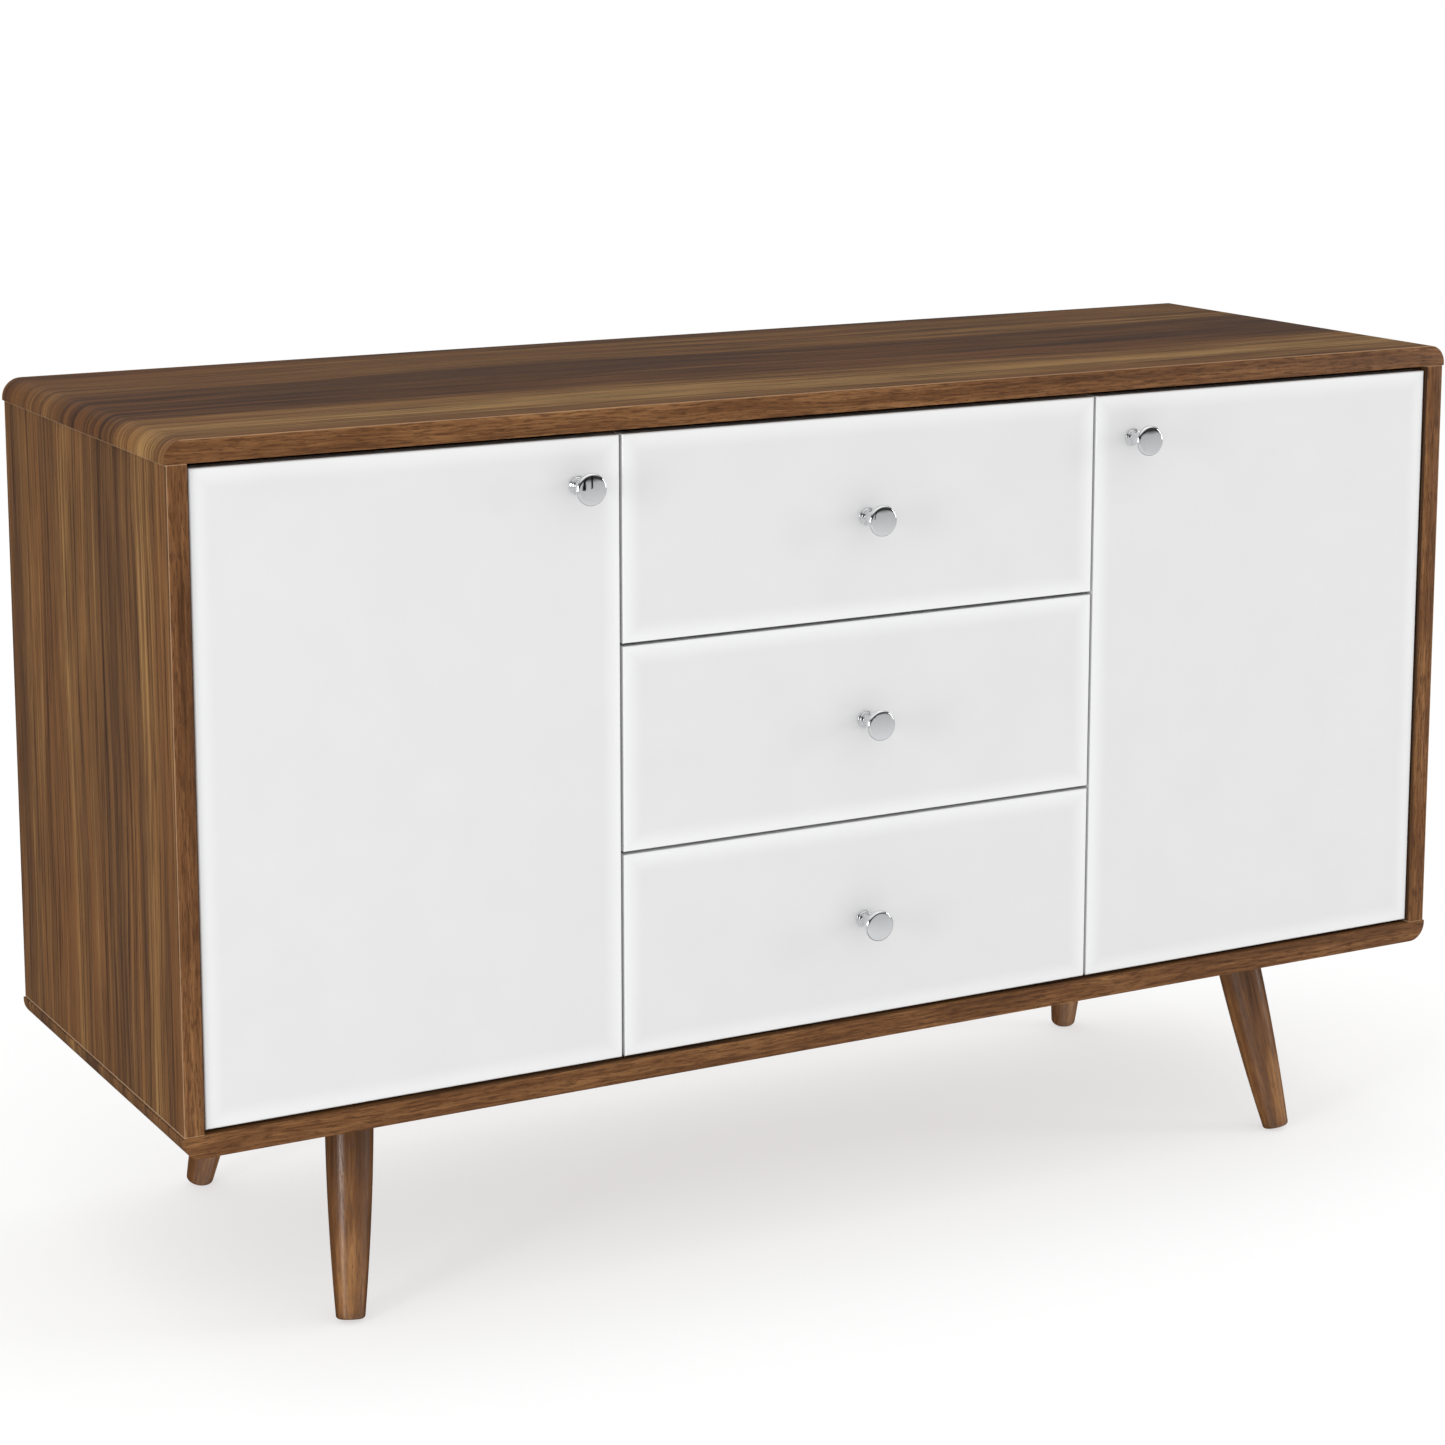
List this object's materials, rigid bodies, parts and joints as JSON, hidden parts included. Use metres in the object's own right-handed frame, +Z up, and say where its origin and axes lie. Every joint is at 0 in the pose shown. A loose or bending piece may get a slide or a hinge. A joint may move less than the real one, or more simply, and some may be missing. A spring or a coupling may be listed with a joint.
{
  "type": "sideboard",
  "caption": "Low walnut-finished sideboard on splayed tapered legs, with white hinged doors at its ends, a stack of white drawers on ball slides between them, and small round metal knobs.",
  "frame": {"origin": "on the floor, under the middle of the whole object with its knobs", "axes": "+X along the width towards the right-hand door as seen from the front, +Y from the fronts to the back, +Z up"},
  "size_m": [1.194, 0.4194, 0.713],
  "materials": {
    "walnut_board": "satin walnut-grain laminate",
    "leg_wood": "satin walnut-stained solid wood",
    "white_lacquer": "white gloss lacquer on fibreboard",
    "chrome": "polished",
    "drawer_board": "pale melamine-faced board",
    "back_board": "printed walnut-grain hardboard",
    "zinc_steel": "zinc plated",
    "nickel_steel": "nickel plated",
    "black_steel": "black powder coat",
    "dowel_wood": "bare beech"
  },
  "bodies": {
    "carcase": {"top_board": "walnut_board", "bottom_board": "walnut_board", "left_side_panel": "walnut_board", "right_side_panel": "walnut_board", "left_divider": "walnut_board", "right_divider": "walnut_board", "back_panels": "back_board", "left_shelf": "walnut_board", "right_shelf": "walnut_board", "shelf_pins": "zinc_steel", "front_left_leg": "leg_wood", "back_left_leg": "leg_wood", "front_right_leg": "leg_wood", "back_right_leg": "leg_wood", "leg_plates": "black_steel", "leg_plate_screws": "zinc_steel", "leg_hanger_bolts": "zinc_steel", "cam_locks": "zinc_steel", "cam_bolts": "zinc_steel", "dowels": "dowel_wood", "slide_rails": "zinc_steel", "hinge_arms": "nickel_steel", "hinge_arm_screws": "zinc_steel"},
    "left_door": {"left_door_panel": "white_lacquer", "left_door_knob": "chrome", "left_door_knob_screw": "zinc_steel", "left_hinge_cups": "nickel_steel", "left_hinge_pins": "zinc_steel", "left_hinge_cup_screws": "zinc_steel"},
    "right_door": {"right_door_panel": "white_lacquer", "right_door_knob": "chrome", "right_door_knob_screw": "zinc_steel", "right_hinge_cups": "nickel_steel", "right_hinge_pins": "zinc_steel", "right_hinge_cup_screws": "zinc_steel"},
    "bottom_drawer": {"bottom_drawer_front": "white_lacquer", "bottom_drawer_sides": "drawer_board", "bottom_drawer_back": "drawer_board", "bottom_drawer_bottom": "drawer_board", "bottom_drawer_knob": "chrome", "bottom_drawer_knob_screw": "zinc_steel", "bottom_slide_members": "zinc_steel"},
    "middle_drawer": {"middle_drawer_front": "white_lacquer", "middle_drawer_sides": "drawer_board", "middle_drawer_back": "drawer_board", "middle_drawer_bottom": "drawer_board", "middle_drawer_knob": "chrome", "middle_drawer_knob_screw": "zinc_steel", "middle_slide_members": "zinc_steel"},
    "top_drawer": {"top_drawer_front": "white_lacquer", "top_drawer_sides": "drawer_board", "top_drawer_back": "drawer_board", "top_drawer_bottom": "drawer_board", "top_drawer_knob": "chrome", "top_drawer_knob_screw": "zinc_steel", "top_slide_members": "zinc_steel"},
    "bottom_ball_cages": {"bottom_ball_cages": "zinc_steel"},
    "middle_ball_cages": {"middle_ball_cages": "zinc_steel"},
    "top_ball_cages": {"top_ball_cages": "zinc_steel"}
  },
  "joints": [
    {"name": "left_door_swing", "type": "hinge", "parent": "carcase", "child": "left_door", "pos_m": [-0.5592, -0.17475, 0.4383], "axis": [0, 0, -1], "range_deg": [0, 95]},
    {"name": "right_door_swing", "type": "hinge", "parent": "carcase", "child": "right_door", "pos_m": [0.5592, -0.17475, 0.4383], "axis": [0, 0, 1], "range_deg": [0, 95]},
    {"name": "bottom_drawer_slide", "type": "slide", "parent": "carcase", "child": "bottom_drawer", "axis": [0, -1, 0], "range_m": [0, 0.26]},
    {"name": "middle_drawer_slide", "type": "slide", "parent": "carcase", "child": "middle_drawer", "axis": [0, -1, 0], "range_m": [0, 0.26]},
    {"name": "top_drawer_slide", "type": "slide", "parent": "carcase", "child": "top_drawer", "axis": [0, -1, 0], "range_m": [0, 0.26]},
    {"name": "bottom_cage_slide", "type": "slide", "parent": "carcase", "child": "bottom_ball_cages", "axis": [0, -1, 0], "range_m": [0, 0.13]},
    {"name": "middle_cage_slide", "type": "slide", "parent": "carcase", "child": "middle_ball_cages", "axis": [0, -1, 0], "range_m": [0, 0.13]},
    {"name": "top_cage_slide", "type": "slide", "parent": "carcase", "child": "top_ball_cages", "axis": [0, -1, 0], "range_m": [0, 0.13]}
  ],
  "couplings": [
    {"joint": "bottom_cage_slide", "follows": "bottom_drawer_slide", "ratio": 0.5},
    {"joint": "middle_cage_slide", "follows": "middle_drawer_slide", "ratio": 0.5},
    {"joint": "top_cage_slide", "follows": "top_drawer_slide", "ratio": 0.5}
  ]
}
